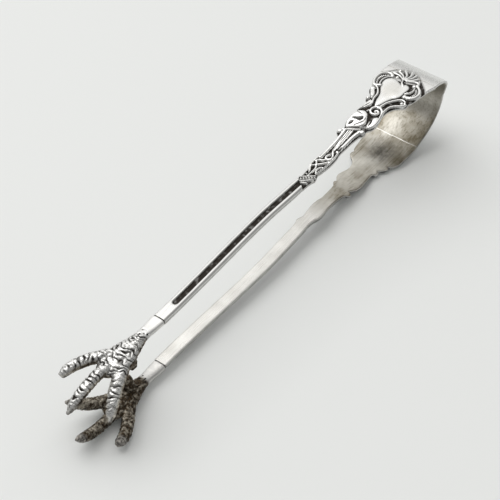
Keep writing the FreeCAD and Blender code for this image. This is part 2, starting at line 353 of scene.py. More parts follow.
def combine(tree, operation, one, two, clamp=False):
    """A maths node of two sockets or numbers."""
    node = tree.nodes.new("ShaderNodeMath")
    node.operation = operation
    node.use_clamp = clamp
    for socket, value in zip(node.inputs, (one, two)):
        if isinstance(value, bpy.types.NodeSocket):
            tree.links.new(value, socket)
        else:
            socket.default_value = value
    return node.outputs[0]


def steep(tree, value, low, high):
    """0 below low, 1 above high and straight between."""
    node = tree.nodes.new("ShaderNodeMapRange")
    tree.links.new(value, node.inputs["Value"])
    node.inputs["From Min"].default_value = low
    node.inputs["From Max"].default_value = high
    return node.outputs["Result"]


def cloud(tree, stretch, scale, detail=4.0):
    """A noise on object coordinates, stretched by three factors, as a value about 0.5."""
    where = tree.nodes.new("ShaderNodeTexCoord")
    mapping = tree.nodes.new("ShaderNodeMapping")
    mapping.inputs["Scale"].default_value = stretch
    noise = tree.nodes.new("ShaderNodeTexNoise")
    noise.inputs["Scale"].default_value = scale
    noise.inputs["Detail"].default_value = detail
    tree.links.new(where.outputs["Object"], mapping.inputs["Vector"])
    tree.links.new(mapping.outputs["Vector"], noise.inputs["Vector"])
    return noise.outputs["Fac"]


def silver(name, c, inner_colours, patchy, polish, satin, mottled, cloud_size):
    """Silver that reads two attributes of its piece: dark, for oxidised recesses and painted shade, and
    inner, for inner faces.

    Its inner colour comes in clouds over the bright silver, fine scratches run lengthwise, and
    where dark is set the silver is nearly black and dull: oxide in the recesses, and painted shade and
    painted dark reflections on edges, walls and along the cartouche's brow.
    """
    material = bpy.data.materials.new(name)
    material.use_nodes = True
    tree = material.node_tree
    shader = tree.nodes["Principled BSDF"]
    dark = tree.nodes.new("ShaderNodeAttribute")
    dark.attribute_name = "dark"
    inner = tree.nodes.new("ShaderNodeAttribute")
    inner.attribute_name = "inner"
    clouds = cloud(tree, (1, 1, 1), cloud_size, 5.0)
    grain = cloud(tree, (1, 1, 1), mottled)
    scratches = cloud(tree, (40, 900, 900), 2.2, 2.0)
    smear = cloud(tree, (1, 1, 1), 45, 2.0)

    patches = combine(tree, "MULTIPLY", steep(tree, clouds, 0.38, 0.66), patchy)
    smeared = combine(tree, "MULTIPLY", steep(tree, smear, 0.42, 0.62), 0.5)
    lines = combine(tree, "MULTIPLY", steep(tree, scratches, 0.5, 0.7), 0.25)
    patches = combine(tree, "ADD", combine(tree, "ADD", patches, smeared), lines, True)
    inside = mix_colour(tree, patches, *inner_colours)
    bright = mix_colour(tree, steep(tree, smear, 0.35, 0.7), c.bright, tuple(0.88 * v for v in c.bright))
    base = mix_colour(tree, inner.outputs["Fac"], bright, inside)
    stain = combine(tree, "MULTIPLY", steep(tree, grain, 0.3, 0.62), 0.5)
    stain = combine(tree, "ADD", stain, 0.75)
    # depth: how far towards the near-black colour, from the dark attribute: oxide in the recesses, painted
    # shade and painted dark reflections elsewhere.
    depth = combine(tree, "MULTIPLY", dark.outputs["Fac"], stain, True)
    base = mix_colour(tree, depth, base, c.oxide_and_shade)
    tree.links.new(base, shader.inputs["Base Color"])

    rough = combine(tree, "MULTIPLY", inner.outputs["Fac"], satin - polish)
    rough = combine(tree, "ADD", rough, polish)
    rough = combine(tree, "ADD", rough, combine(tree, "MULTIPLY", steep(tree, scratches, 0.45, 0.75), 0.12))
    rough = combine(tree, "ADD", rough, combine(tree, "MULTIPLY", depth, 0.35), True)
    tree.links.new(rough, shader.inputs["Roughness"])

    bump = tree.nodes.new("ShaderNodeBump")
    bump.inputs["Strength"].default_value = 0.25
    bump.inputs["Distance"].default_value = 0.00004
    tree.links.new(scratches, bump.inputs["Height"])
    tree.links.new(bump.outputs["Normal"], shader.inputs["Normal"])
    shader.inputs["Metallic"].default_value = 1.0
    return material


def finish(name):
    """One of the tongs' finishes, made the first time that it is asked for."""
    if name in bpy.data.materials:
        return bpy.data.materials[name]
    c = bpy.context.scene.silver_colours
    colours = SimpleNamespace(**{key: tuple(getattr(c, key)) for key in c.__annotations__})
    dull = (colours.satin, colours.tarnish)
    brown = (colours.worn, colours.patina)
    recipes = {
        "plain silver": (dull, 0.55, 0.2, 0.4, 500, 170),
        "struck silver": (dull, 0.55, 0.18, 0.4, 700, 170),
        "cast silver": (brown, 1.0, 0.3, 0.45, 900, 900),
        "soldered silver": (dull, 0.2, 0.3, 0.3, 700, 300),
    }
    return silver(name, colours, *recipes[name])


# ---------------------------------------------------------------- the bow

def strip_ring(top_points, edge_points):
    """A cross-section of flat strip with half-round edges, as three lists.

    across runs from 1 (left) to -1 (right), out is a share of the edge's rounding beyond
    that, and level runs from 0 (inner face) to 1 (outer face).
    """
    top = np.linspace(1, -1, top_points)
    bend = np.linspace(0, math.pi, edge_points + 2)[1:-1]
    across = np.concatenate([top, -np.ones(edge_points), -top, np.ones(edge_points)])
    out = np.concatenate([np.zeros(top_points), -np.sin(bend), np.zeros(top_points), np.sin(bend)])
    side = (1 + np.cos(bend)) / 2
    level = np.concatenate([np.ones(top_points), side, np.zeros(top_points), side[::-1]])
    return across, out, level


def bow_half(s, side):
    """Half the bow, from the crown to one seam.

    Stations are close at the crown, where two halves meet in one smooth line, and open out:
    share = (i / n) ^ 1.6. Across each, the strip's section follows the leaning widths.
    """
    across, out, level = strip_ring(70, 5)
    rounding = 0.3
    stations = np.linspace(0, 1, 90) ** 1.6
    depth = level * s.strip
    x, z = bow_point(s, stations[:, None], depth[None, :])
    left, right = band_reach(s, z, side)
    middle = (left - right) / 2
    half = (left + right) / 2 - rounding
    y = middle + across * half + out * rounding
    points = np.stack([x, y, z], axis=-1).reshape(-1, 3)
    if side == "lower":
        points = points * TURNED_OVER
    inner = np.broadcast_to((1 - level) ** 2, x.shape)
    brow = smooth_line(CARTOUCHE_BROW)
    away, _, _ = Relief.to_line(brow, x, y)
    # Darker on the outer face beside the cartouche's brow: partly oxide in the seam, partly a painted contact
    # shadow.
    brow_shadow_and_oxide = 0.75 * (1 - smooth_step(away / 0.75)) * (level == 1)
    # The rounded edges of the strip are darkened a little: a painted dark reflection.
    edge = np.maximum(brow_shadow_and_oxide, (np.abs(out) > 0) * 0.25)
    faces = grid_faces(len(stations), len(across))
    attributes = {"dark": edge, "inner": inner}
    return new_piece(f"{side}_bow_half", points, faces, attributes, finish("plain silver"))


# ---------------------------------------------------------------- drawing lines and reliefs

def smooth_line(points, closed=False, steps=9):
    """A Catmull-Rom curve through the points.

    Each span is p1 + t (p2 - p0) / 2 + t^2 (2 p0 - 5 p1 + 4 p2 - p3) / 2
    + t^3 (3 p1 - p0 - 3 p2 + p3) / 2.
    """
    p = np.array(points, float)
    if closed:
        p = np.concatenate([p[-1:], p, p[:2]])
    else:
        p = np.concatenate([2 * p[:1] - p[1:2], p, 2 * p[-1:] - p[-2:-1]])
    t = np.linspace(0, 1, steps, endpoint=False)[None, :, None]
    a, b, c, d = (p[i : len(p) - 3 + i, None, :] for i in range(4))
    spans = b + t * (c - a) / 2
    spans = spans + t ** 2 * (2 * a - 5 * b + 4 * c - d) / 2 + t ** 3 * (3 * b - a - 3 * c + d) / 2
    return np.concatenate([spans.reshape(-1, p.shape[1]), p[-2:-1]])


def edge_at(points, x):
    """y of an edge drawn through points from right to left, at each x."""
    line = smooth_line(points)[::-1]
    return np.interp(x, line[:, 0], line[:, 1])


def smooth_step(t):
    """0 below 0, 1 above 1, and 3 t^2 - 2 t^3 between."""
    t = np.clip(t, 0, 1)
    return t * t * (3 - 2 * t)


class Relief:
    """Heights over a grid of x and y, all in millimetres, built up from strokes.

    Heights are measured from the arm's outermost surface, so they run from the ground's
    negative depth up to 0.
    """

    def __init__(self, x, y, height):
        self.x = x
        self.y = y
        self.height = height

    def window(self, line, reach):
        """The part of the grid within reach of a line, as slices, with its coordinates."""
        low = line.min(axis=0) - reach
        high = line.max(axis=0) + reach
        i = np.flatnonzero((self.x >= low[0]) & (self.x <= high[0]))
        j = np.flatnonzero((self.y >= low[1]) & (self.y <= high[1]))
        if not len(i) or not len(j):
            return None
        part = np.s_[i[0] : i[-1] + 1, j[0] : j[-1] + 1]
        x, y = np.meshgrid(self.x[part[0]], self.y[part[1]], indexing="ij")
        return part, x, y

    @staticmethod
    def to_line(line, x, y):
        """Distance from each point to a line, and how far along the line the nearest point is."""
        start = line[:-1]
        step = line[1:] - start
        long = (step ** 2).sum(axis=1) + 1e-12
        dx = x[..., None] - start[:, 0]
        dy = y[..., None] - start[:, 1]
        t = np.clip((dx * step[:, 0] + dy * step[:, 1]) / long, 0, 1)
        away = (dx - t * step[:, 0]) ** 2 + (dy - t * step[:, 1]) ** 2
        near = away.argmin(axis=-1)[..., None]
        ends = np.concatenate([[0], np.cumsum(np.sqrt(long))])
        along = ends[near[..., 0]] + (np.take_along_axis(t, near, -1) * np.sqrt(long)[near])[..., 0]
        return np.sqrt(np.take_along_axis(away, near, -1)[..., 0]), along, ends[-1]

    def stroke(self, points, half, closed=False):
        """The part of the grid under a curved stroke, or None if there is none.

        With it come the distance from the curve, the distance along it and the half width
        there. half may be three widths, for the stroke's start, middle and end.
        """
        line = smooth_line(points, closed)
        widths = half if isinstance(half, tuple) else (half, half, half)
        found = self.window(line, max(widths))
        if found is None:
            return None
        part, x, y = found
        away, along, total = self.to_line(line, x, y)
        width = np.interp(along / total, [0, 0.5, 1], widths)
        return part, away, along, width

    def wire(self, points, half, top, ribs=0.0, closed=False):
        """A half-round ridge along a curve: top - half (1 - sqrt(1 - (d / half)^2)).

        ribs is the spacing of notches across it.
        """
        found = self.stroke(points, half, closed)
        if found is None:
            return
        part, away, along, width = found
        t = np.clip(away / width, 0, 1)
        height = top - np.minimum(width, 0.75) * (1 - np.sqrt(1 - t * t))
        if ribs:
            height = height - 0.22 * (0.5 + 0.5 * np.cos(2 * math.pi * along / ribs)) ** 2
        self.raise_to(part, height, away < width)

    def groove(self, points, half, bottom):
        """A round-bottomed groove along a curve: bottom + (height - bottom) (d / half)^2."""
        found = self.stroke(points, half)
        if found is None:
            return
        part, away, _, width = found
        t = np.clip(away / width, 0, 1)
        now = self.height[part]
        self.height[part] = np.minimum(now, bottom + (np.maximum(now, bottom) - bottom) * t * t)

    def raise_to(self, part, height, where):
        """Raises part of the grid to a height, where it says so and the grid is lower."""
        self.height[part] = np.where(where, np.maximum(self.height[part], height), self.height[part])

    def inside(self, outline, x, y):
        """Whether each point is inside a closed outline, by counting crossings to its right."""
        crossings = np.zeros(x.shape, int)
        for (x0, y0), (x1, y1) in zip(outline[:-1], outline[1:]):
            if y0 != y1:
                at = x0 + (y - y0) * (x1 - x0) / (y1 - y0)
                crossings += ((y0 > y) != (y1 > y)) & (x < at)
        return crossings % 2 == 1

    def plate(self, points, edge, top, rise):
        """A cushion inside a closed curve: from edge it rises to top in a quarter round."""
        line = smooth_line(points, True)
        part, x, y = self.window(line, 0.1)
        away, _, _ = self.to_line(line, x, y)
        t = np.clip(away / rise, 0, 1)
        height = edge + (top - edge) * np.sqrt(1 - (1 - t) ** 2)
        self.raise_to(part, height, self.inside(line, x, y))

    def pit(self, points, bottom):
        """A sunk area inside a closed curve, with walls 0.22 mm wide."""
        line = smooth_line(points, True)
        part, x, y = self.window(line, 0.1)
        away, _, _ = self.to_line(line, x, y)
        now = self.height[part]
        sunk = now + (bottom - now) * smooth_step(away / 0.22)
        self.height[part] = np.where(self.inside(line, x, y), np.minimum(now, sunk), now)

    def ball(self, centre, radius, top):
        """A ball bedded in the ground: top - radius + sqrt(radius^2 - d^2)."""
        line = np.array([centre, centre], float)
        found = self.window(line, radius)
        if found is None:
            return
        part, x, y = found
        away = (x - centre[0]) ** 2 + (y - centre[1]) ** 2
        height = top - radius + np.sqrt(np.maximum(radius ** 2 - away, 0))
        self.raise_to(part, height, away < radius ** 2)

    def blurred(self, radius):
        """The heights averaged over a square of that many grid steps each way, twice."""
        field = self.height
        for _ in range(2):
            for axis in (0, 1):
                padding = [(0, 0), (0, 0)]
                padding[axis] = (radius + 1, radius)
                total = np.cumsum(np.pad(field, padding, mode="edge"), axis=axis)
                size = field.shape[axis]
                ahead = np.take(total, np.arange(2 * radius + 1, 2 * radius + 1 + size), axis=axis)
                behind = np.take(total, np.arange(size), axis=axis)
                field = (ahead - behind) / (2 * radius + 1)
        return field


# ---------------------------------------------------------------- the struck ornament

# Outlines of the upper arm seen from above, from the bow to the claw: x and y of points that
# a smooth curve runs through.
LEFT_EDGE = [
    (-15.3, 6.5), (-20.0, 6.2), (-22.5, 6.05), (-24.6, 5.75), (-26.2, 4.95), (-27.2, 4.0),
    (-28.2, 4.4), (-29.3, 3.9), (-30.3, 3.0), (-31.0, 2.5), (-31.9, 3.2), (-32.9, 2.8),
    (-33.7, 2.15), (-36.0, 2.3), (-38.5, 2.65), (-41.0, 2.95), (-43.2, 2.75), (-45.0, 2.0),
    (-45.9, 1.8), (-46.4, 2.7), (-47.1, 3.1), (-47.9, 2.7), (-48.5, 1.95), (-50.0, 1.7),
    (-54.0, 1.75), (-57.5, 2.0), (-60.5, 2.3), (-62.6, 2.2), (-64.2, 1.7), (-66.5, 1.5),
    (-69.0, 1.75), (-72.0, 1.9), (-76.0, 2.1), (-86.0, 2.45), (-97.0, 2.35), (-112.0, 2.05),
    (-126.0, 1.8), (-134.0, 1.85),
]
RIGHT_EDGE = [
    (-15.3, -10.3), (-18.0, -9.95), (-21.5, -9.6), (-24.5, -9.2), (-26.6, -8.8),
    (-27.5, -8.3), (-28.5, -8.55), (-29.6, -8.35), (-30.5, -7.4), (-31.5, -6.3), (-33.0, -5.45),
    (-34.8, -5.0), (-36.5, -5.1), (-38.5, -5.5), (-40.3, -5.6), (-41.8, -5.25), (-42.9, -4.5),
    (-43.6, -4.2), (-44.4, -4.5), (-45.3, -4.15), (-46.1, -3.5), (-48.5, -2.95), (-51.5, -2.6),
    (-54.0, -2.4), (-56.0, -2.65), (-58.5, -2.7), (-61.0, -2.45), (-63.3, -2.15), (-64.5, -1.95),
    (-65.6, -2.3), (-66.8, -2.6), (-68.2, -2.2), (-71.0, -1.9), (-76.0, -1.75), (-86.0, -1.35),
    (-97.0, -1.35), (-112.0, -1.65), (-126.0, -1.85), (-134.0, -1.85),
]

# The raised cartouche's own outline on the band, from its left edge round the shell's tip.
CARTOUCHE_BROW = [
    (-20.6, 6.4), (-18.9, 4.9), (-17.3, 3.9), (-15.4, 2.9), (-13.9, 1.5), (-12.9, 0.0),
    (-12.6, -1.3), (-13.3, -2.8), (-14.6, -4.2), (-16.3, -5.9), (-18.4, -7.9), (-20.6, -9.6),
    (-22.3, -10.6),
]


def cartouche(r):
    """The heart-shaped shield, its scroll frame and the shell at its head."""
    r.plate(
        [
            (-34.0, -0.9), (-32.0, 0.1), (-30.0, 0.55), (-28.2, 1.05), (-26.6, 1.95), (-25.2, 2.75),
            (-23.6, 3.2), (-22.0, 3.15), (-20.7, 2.4), (-20.1, 1.2), (-20.3, 0.0), (-20.9, -1.3),
            (-21.0, -2.4), (-20.5, -3.3), (-20.8, -4.5), (-22.0, -5.15), (-24.0, -5.15),
            (-26.0, -5.1), (-27.6, -4.5), (-29.0, -3.5), (-31.0, -2.7), (-33.0, -2.0),
        ],
        -0.72, 0.0, 4.2,
    )
    # the ground under the shell lies just above the strip
    r.plate(
        [
            (-20.5, 2.5), (-18.0, 3.8), (-15.4, 2.6), (-13.9, 1.3), (-12.9, -0.1), (-12.7, -1.3),
            (-13.4, -2.8), (-14.7, -4.1), (-16.4, -5.8), (-18.5, -6.0), (-20.0, -3.0),
        ],
        -0.5, -0.46, 0.4,
    )
    # left frame: a ribbed hollow between a wide outer scroll and a thin inner one
    r.wire([(-25.3, 4.0), (-23.8, 4.65), (-22.2, 4.75), (-20.8, 4.2), (-19.9, 3.2)], 0.72, -0.42, ribs=0.62)
    r.wire(
        [
            (-26.3, 4.3), (-25.2, 5.1), (-23.6, 5.55), (-21.8, 5.6), (-20.2, 5.1), (-19.2, 4.1),
            (-18.9, 3.0), (-19.3, 2.3),
        ],
        (0.55, 0.42, 0.5), -0.02,
    )
    r.wire([(-25.5, 2.9), (-24.3, 3.35), (-22.7, 3.45), (-21.2, 2.95), (-20.2, 2.2)], 0.24, -0.12)
    r.wire([(-26.5, 4.4), (-26.1, 3.5), (-25.5, 2.6)], (0.5, 0.6, 0.62), 0.0)
    r.ball((-19.7, 2.0), 0.72, 0.02)
    # right frame, the same turned about, with its hollow towards the shield
    r.wire([(-25.2, -6.9), (-23.8, -7.6), (-22.2, -7.7), (-20.9, -7.0)], 0.7, -0.45, ribs=0.62)
    r.wire(
        [
            (-25.7, -6.9), (-25.2, -7.9), (-24.0, -8.7), (-22.4, -8.8), (-20.9, -8.1), (-19.8, -7.0),
            (-19.2, -6.2),
        ],
        (0.75, 0.6, 0.4), 0.0,
    )
    r.wire([(-24.6, -5.5), (-23.5, -6.3), (-22.2, -6.6), (-20.8, -6.3)], (0.42, 0.28, 0.2), -0.1)
    r.ball((-25.8, -6.0), 0.85, 0.02)
    r.ball((-24.0, -5.75), 0.5, -0.08)
    r.ball((-20.0, -5.8), 0.8, 0.03)
    # the frame runs on from the right scroll to the shell
    r.wire(
        [
            (-19.3, -2.7), (-18.6, -3.8), (-17.9, -4.9), (-17.9, -5.9), (-18.9, -6.4),
        ],
        (0.4, 0.55, 0.35), 0.0,
    )
    # the shell: petals that fan out from its root
    root = (-19.6, -1.6)
    petals = [
        ((-15.9, -4.6), 0.55), ((-14.2, -3.2), 0.6), ((-13.2, -1.3), 0.6), ((-14.3, 0.6), 0.5),
        ((-16.2, 1.7), 0.5), ((-17.9, 2.5), 0.45), ((-22.0, -3.0), 0.42),
    ]
    for (x, y), half in petals:
        bend = (0.5 * (x + root[0]) + 0.12 * (y - root[1]), 0.5 * (y + root[1]) - 0.12 * (x - root[0]))
        r.wire([root, bend, (x, y)], (0.15, 0.7 * half, half), 0.0)
    r.ball((-15.2, 1.9), 0.5, -0.05)
    r.ball((-19.2, 0.6), 0.5, -0.1)
    # left leaves beside the shield's tip
    r.wire(
        [
            (-33.4, 0.3), (-31.5, 0.95), (-29.7, 1.05), (-28.2, 1.7), (-27.0, 2.7), (-26.6, 3.6),
        ],
        (0.3, 0.34, 0.25), -0.03,
    )
    r.wire([(-31.6, 1.7), (-30.2, 2.1), (-29.0, 2.8), (-28.0, 3.6)], (0.3, 0.55, 0.45), -0.12)
    r.ball((-27.9, 3.6), 0.85, 0.0)
    r.ball((-32.3, 2.6), 0.7, -0.05)
    r.wire([(-30.6, 2.5), (-29.6, 3.0), (-28.8, 3.6)], 0.3, -0.06)


def scrolls(r):
    """The long double scroll on the right, the acanthus leaves and the big volute."""
    r.wire(
        [
            (-34.5, -2.5), (-33.0, -2.75), (-31.2, -3.3), (-29.7, -4.2), (-28.3, -5.3), (-27.6, -6.4),
            (-27.9, -7.4), (-28.7, -7.8),
        ],
        (0.34, 0.36, 0.3), 0.0,
    )
    r.wire(
        [
            (-35.6, -4.6), (-34.0, -4.6), (-32.4, -4.9), (-31.2, -5.8), (-30.3, -7.0), (-29.6, -7.9),
            (-28.7, -8.1),
        ],
        (0.3, 0.34, 0.36), -0.02,
    )
    r.ball((-28.9, -7.0), 0.62, -0.02)
    # the volute: from the scroll under it, once and a half round and in
    r.wire(
        [
            (-43.3, -2.3), (-42.9, -3.4), (-42.0, -4.5), (-40.6, -5.1), (-38.9, -5.15), (-37.3, -4.95),
            (-35.9, -4.6), (-34.8, -3.9), (-34.2, -3.0), (-34.2, -2.0), (-34.9, -1.2), (-36.0, -0.95),
            (-36.9, -1.4), (-37.25, -2.35), (-36.9, -3.25), (-36.1, -3.5), (-35.6, -3.0), (-35.8, -2.4),
        ],
        (0.42, 0.42, 0.34), 0.03,
    )
    r.ball((-36.05, -2.5), 0.42, 0.03)
    # body of the leaf below the volute, and the leaf above with its two eyes
    r.plate(
        [
            (-37.6, -4.4), (-38.6, -3.4), (-40.4, -3.1), (-42.2, -3.4), (-42.4, -4.3), (-41.0, -5.1),
            (-39.0, -5.2),
        ],
        -0.45, -0.05, 0.7,
    )
    r.plate(
        [
            (-45.2, 1.5), (-43.6, 2.5), (-41.2, 2.85), (-39.2, 2.6), (-37.9, 1.7), (-37.3, 0.2),
            (-37.9, -1.0), (-38.9, -1.7), (-40.2, -2.4), (-41.7, -2.7), (-43.0, -2.0), (-44.0, -0.6),
            (-44.9, 0.5),
        ],
        -0.5, 0.0, 0.9,
    )
    r.pit([(-44.3, 1.35), (-43.2, 1.7), (-42.3, 1.2), (-42.5, 0.6), (-43.6, 0.75)], -0.7)
    r.pit(
        [
            (-41.7, 1.9), (-41.0, 1.6), (-40.3, 0.4), (-39.4, -0.6), (-40.3, -1.1), (-41.5, -0.7),
            (-41.6, 0.6),
        ],
        -0.75,
    )
    r.groove([(-43.6, -0.2), (-42.4, -1.0), (-41.0, -1.7), (-39.4, -1.7)], (0.1, 0.2, 0.1), -0.35)
    r.groove([(-38.9, 2.2), (-38.8, 1.0), (-39.0, 0.0)], (0.1, 0.22, 0.1), -0.35)
    # the leaf between that one and the shield
    r.plate(
        [
            (-38.3, 2.4), (-36.4, 2.15), (-34.4, 1.9), (-32.6, 1.5), (-32.9, 0.6), (-34.3, -0.1),
            (-35.7, 0.9), (-37.2, 1.9),
        ],
        -0.5, -0.02, 0.6,
    )
    r.groove([(-37.6, 2.0), (-35.8, 1.35), (-34.0, 0.7)], (0.12, 0.2, 0.12), -0.3)
    r.wire([(-36.9, -0.2), (-35.6, -0.9), (-34.5, -1.1)], (0.2, 0.3, 0.2), -0.25)
    r.groove([(-41.8, -3.9), (-40.2, -3.7), (-38.5, -3.0)], (0.12, 0.34, 0.3), -0.7)


def waist(r):
    """The fluted waist: two bands that end in balls, with thin fanned ridges between them."""
    r.ball((-47.1, 2.2), 0.95, 0.0)
    r.ball((-44.5, -3.6), 0.92, 0.0)
    r.wire([(-46.6, 1.1), (-49.0, 1.0), (-53.0, 1.0), (-57.0, 1.1), (-58.6, 1.2)], (0.5, 0.58, 0.4), 0.0)
    r.wire([(-44.9, -2.9), (-47.5, -2.25), (-51.0, -1.95), (-54.4, -1.7)], (0.62, 0.58, 0.45), 0.0)
    for y in (0.12, -0.42, -0.98):
        r.wire(
            [
                (-46.0 - 0.5 * y, y), (-50.0, 0.85 * y - 0.05), (-54.6, 0.45 * y - 0.25),
            ],
            (0.26, 0.22, 0.12), -0.2,
        )
    r.pit([(-54.1, -1.3), (-53.0, -1.4), (-52.2, -1.9), (-53.0, -2.2), (-54.0, -2.1)], -0.7)
    # the diagonal fold where the waist tucks under the leaf
    r.wire([(-46.4, 1.8), (-45.5, 0.3), (-44.7, -1.2), (-43.9, -2.6)], (0.2, 0.3, 0.2), -0.12)
    r.groove(
        [
            (-45.7, 1.6), (-44.9, 0.2), (-44.2, -1.2), (-43.2, -3.0), (-42.9, -4.2),
        ],
        (0.16, 0.3, 0.34), -0.72,
    )


def leaf_panel(r):
    """Curled leaves on a dark ground, between the waist and the row of beads."""
    r.wire([(-58.6, 1.7), (-60.6, 1.9), (-62.8, 1.75), (-64.6, 1.3), (-67.5, 1.15)], 0.24, -0.05)
    r.wire([(-54.6, -2.1), (-57.0, -2.35), (-60.0, -2.25), (-63.0, -1.9), (-64.6, -1.65)], 0.24, -0.05)
    # a stem that winds from side to side, with a leaf curling off at each bend
    r.wire(
        [
            (-67.2, -0.2), (-65.0, -0.25), (-63.0, -0.2), (-61.6, 0.5), (-60.4, 1.2),
        ],
        (0.22, 0.34, 0.3), -0.08,
    )
    r.wire([(-65.6, 0.35), (-64.2, 0.9), (-63.2, 1.35)], (0.14, 0.34, 0.14), -0.08)
    r.wire([(-62.9, 1.5), (-61.9, 0.6), (-60.9, -0.4), (-59.9, -1.2), (-58.9, -2.0)], (0.2, 0.36, 0.3), -0.02)
    r.wire([(-60.6, 1.5), (-59.7, 0.9), (-59.3, 0.0), (-58.3, -0.9), (-57.3, -1.9)], (0.24, 0.36, 0.2), 0.0)
    r.wire(
        [
            (-65.2, -1.8), (-64.2, -1.1), (-63.0, -0.9), (-62.1, -1.2), (-61.8, -1.8),
        ],
        (0.2, 0.36, 0.2), -0.04,
    )
    ring = np.linspace(0, 1.6 * math.pi, 12)
    curl = np.column_stack([-57.4 + 0.95 * np.cos(ring + 0.4), -0.95 + 0.85 * np.sin(ring + 0.4)])
    r.wire(curl, (0.34, 0.34, 0.2), 0.0)
    r.wire([(-56.4, -1.6), (-55.4, -0.9), (-54.4, -0.4)], (0.3, 0.42, 0.2), -0.02)
    r.wire([(-56.6, 0.6), (-57.6, 0.9), (-58.7, 0.6)], (0.12, 0.26, 0.12), -0.2)
    r.ball((-66.3, 0.6), 0.3, -0.15)


def bead_row(r):
    """Two diagonal ridges and a diagonal row of beads where the channel starts."""
    r.wire([(-71.6, 1.5), (-70.7, 0.1), (-69.6, -1.7)], 0.26, 0.0)
    r.wire([(-70.7, 1.6), (-69.2, -0.6), (-67.4, -2.4)], 0.28, 0.0)
    r.wire([(-68.5, 1.5), (-67.4, 0.0), (-65.7, -2.0)], 0.2, -0.08)
    for i in range(7):
        r.ball((-69.55 + 0.52 * i, 1.3 - 0.6 * i), 0.33, -0.02)


def stem(r, k, left, right):
    """The two rounded ridges beside the channel, and the plain flat before the claw.

    Across the stem, height = -0.3 ((y - middle) / half)^4 towards both edges, and the
    channel is cut with walls 0.12 mm wide and a rounded far end.
    """
    back = -r.x[:, None]
    y = r.y[None, :]
    half = (left - right)[:, None] / 2
    middle = (left + right)[:, None] / 2
    crowned = -0.34 * np.abs((y - middle) / half) ** 4
    start = k.channel_start + 0.75 * (middle - y)
    on_stem = back > start
    past_end = np.maximum(back - (k.channel_end - k.channel_half), 0)
    reach = np.sqrt((y - middle) ** 2 + past_end ** 2)
    cut = 1 - smooth_step((reach - k.channel_half) / 0.14 + 0.5)
    edges = 0.12 * np.exp(-(((reach - k.channel_half) / 0.2) ** 2))
    height = crowned - k.channel_deep * cut - edges * (1 - cut)
    r.height[:] = np.where(on_stem, height, r.height)
    return on_stem * cut


def struck_relief(k, x, y, left, right):
    """The whole ornament as a relief, and how dark each point of it is."""
    r = Relief(x, y, np.full((len(x), len(y)), k.ground))
    brow = smooth_line(CARTOUCHE_BROW)
    behind = np.interp(y, brow[::-1, 1], brow[::-1, 0])
    plain = x[:, None] > behind[None, :]
    cartouche(r)
    scrolls(r)
    waist(r)
    leaf_panel(r)
    bead_row(r)
    channel = stem(r, k, left, right)
    r.height = np.where(plain, k.band, r.height)
    # Along the cartouche's brow the plain band dips and is darkened: partly oxide in the seam, partly a
    # painted contact shadow.
    band_shadow_and_oxide = np.zeros(r.height.shape)
    part, gx, gy = r.window(brow, 1.2)
    away, _, _ = r.to_line(brow, gx, gy)
    r.height[part] -= np.where(plain[part], 0.16 * (1 - smooth_step(away / 0.5)), 0)
    band_shadow_and_oxide[part] = np.where(plain[part], 0.75 * (1 - smooth_step(away / 0.75)), 0)
    # Darker in hollows and wide dips, as ambient occlusion would be: partly oxide in the recesses, partly
    # painted occlusion shade. deep is the oxidised ground.
    hollow = r.blurred(3) - r.height
    wide = r.blurred(8) - r.height
    deep = np.clip((-0.42 - r.height) / 0.2, 0, 1)
    dark = np.clip(hollow / 0.12, 0, 1) * 0.55 + np.clip(wide / 0.3, 0, 1) * 0.5 + deep * 0.6
    dark = np.where(plain, band_shadow_and_oxide, np.clip(dark, 0, 1))
    dark = np.where(-x[:, None] > k.ornament_end, channel, np.maximum(dark, channel))
    return r.height, dark


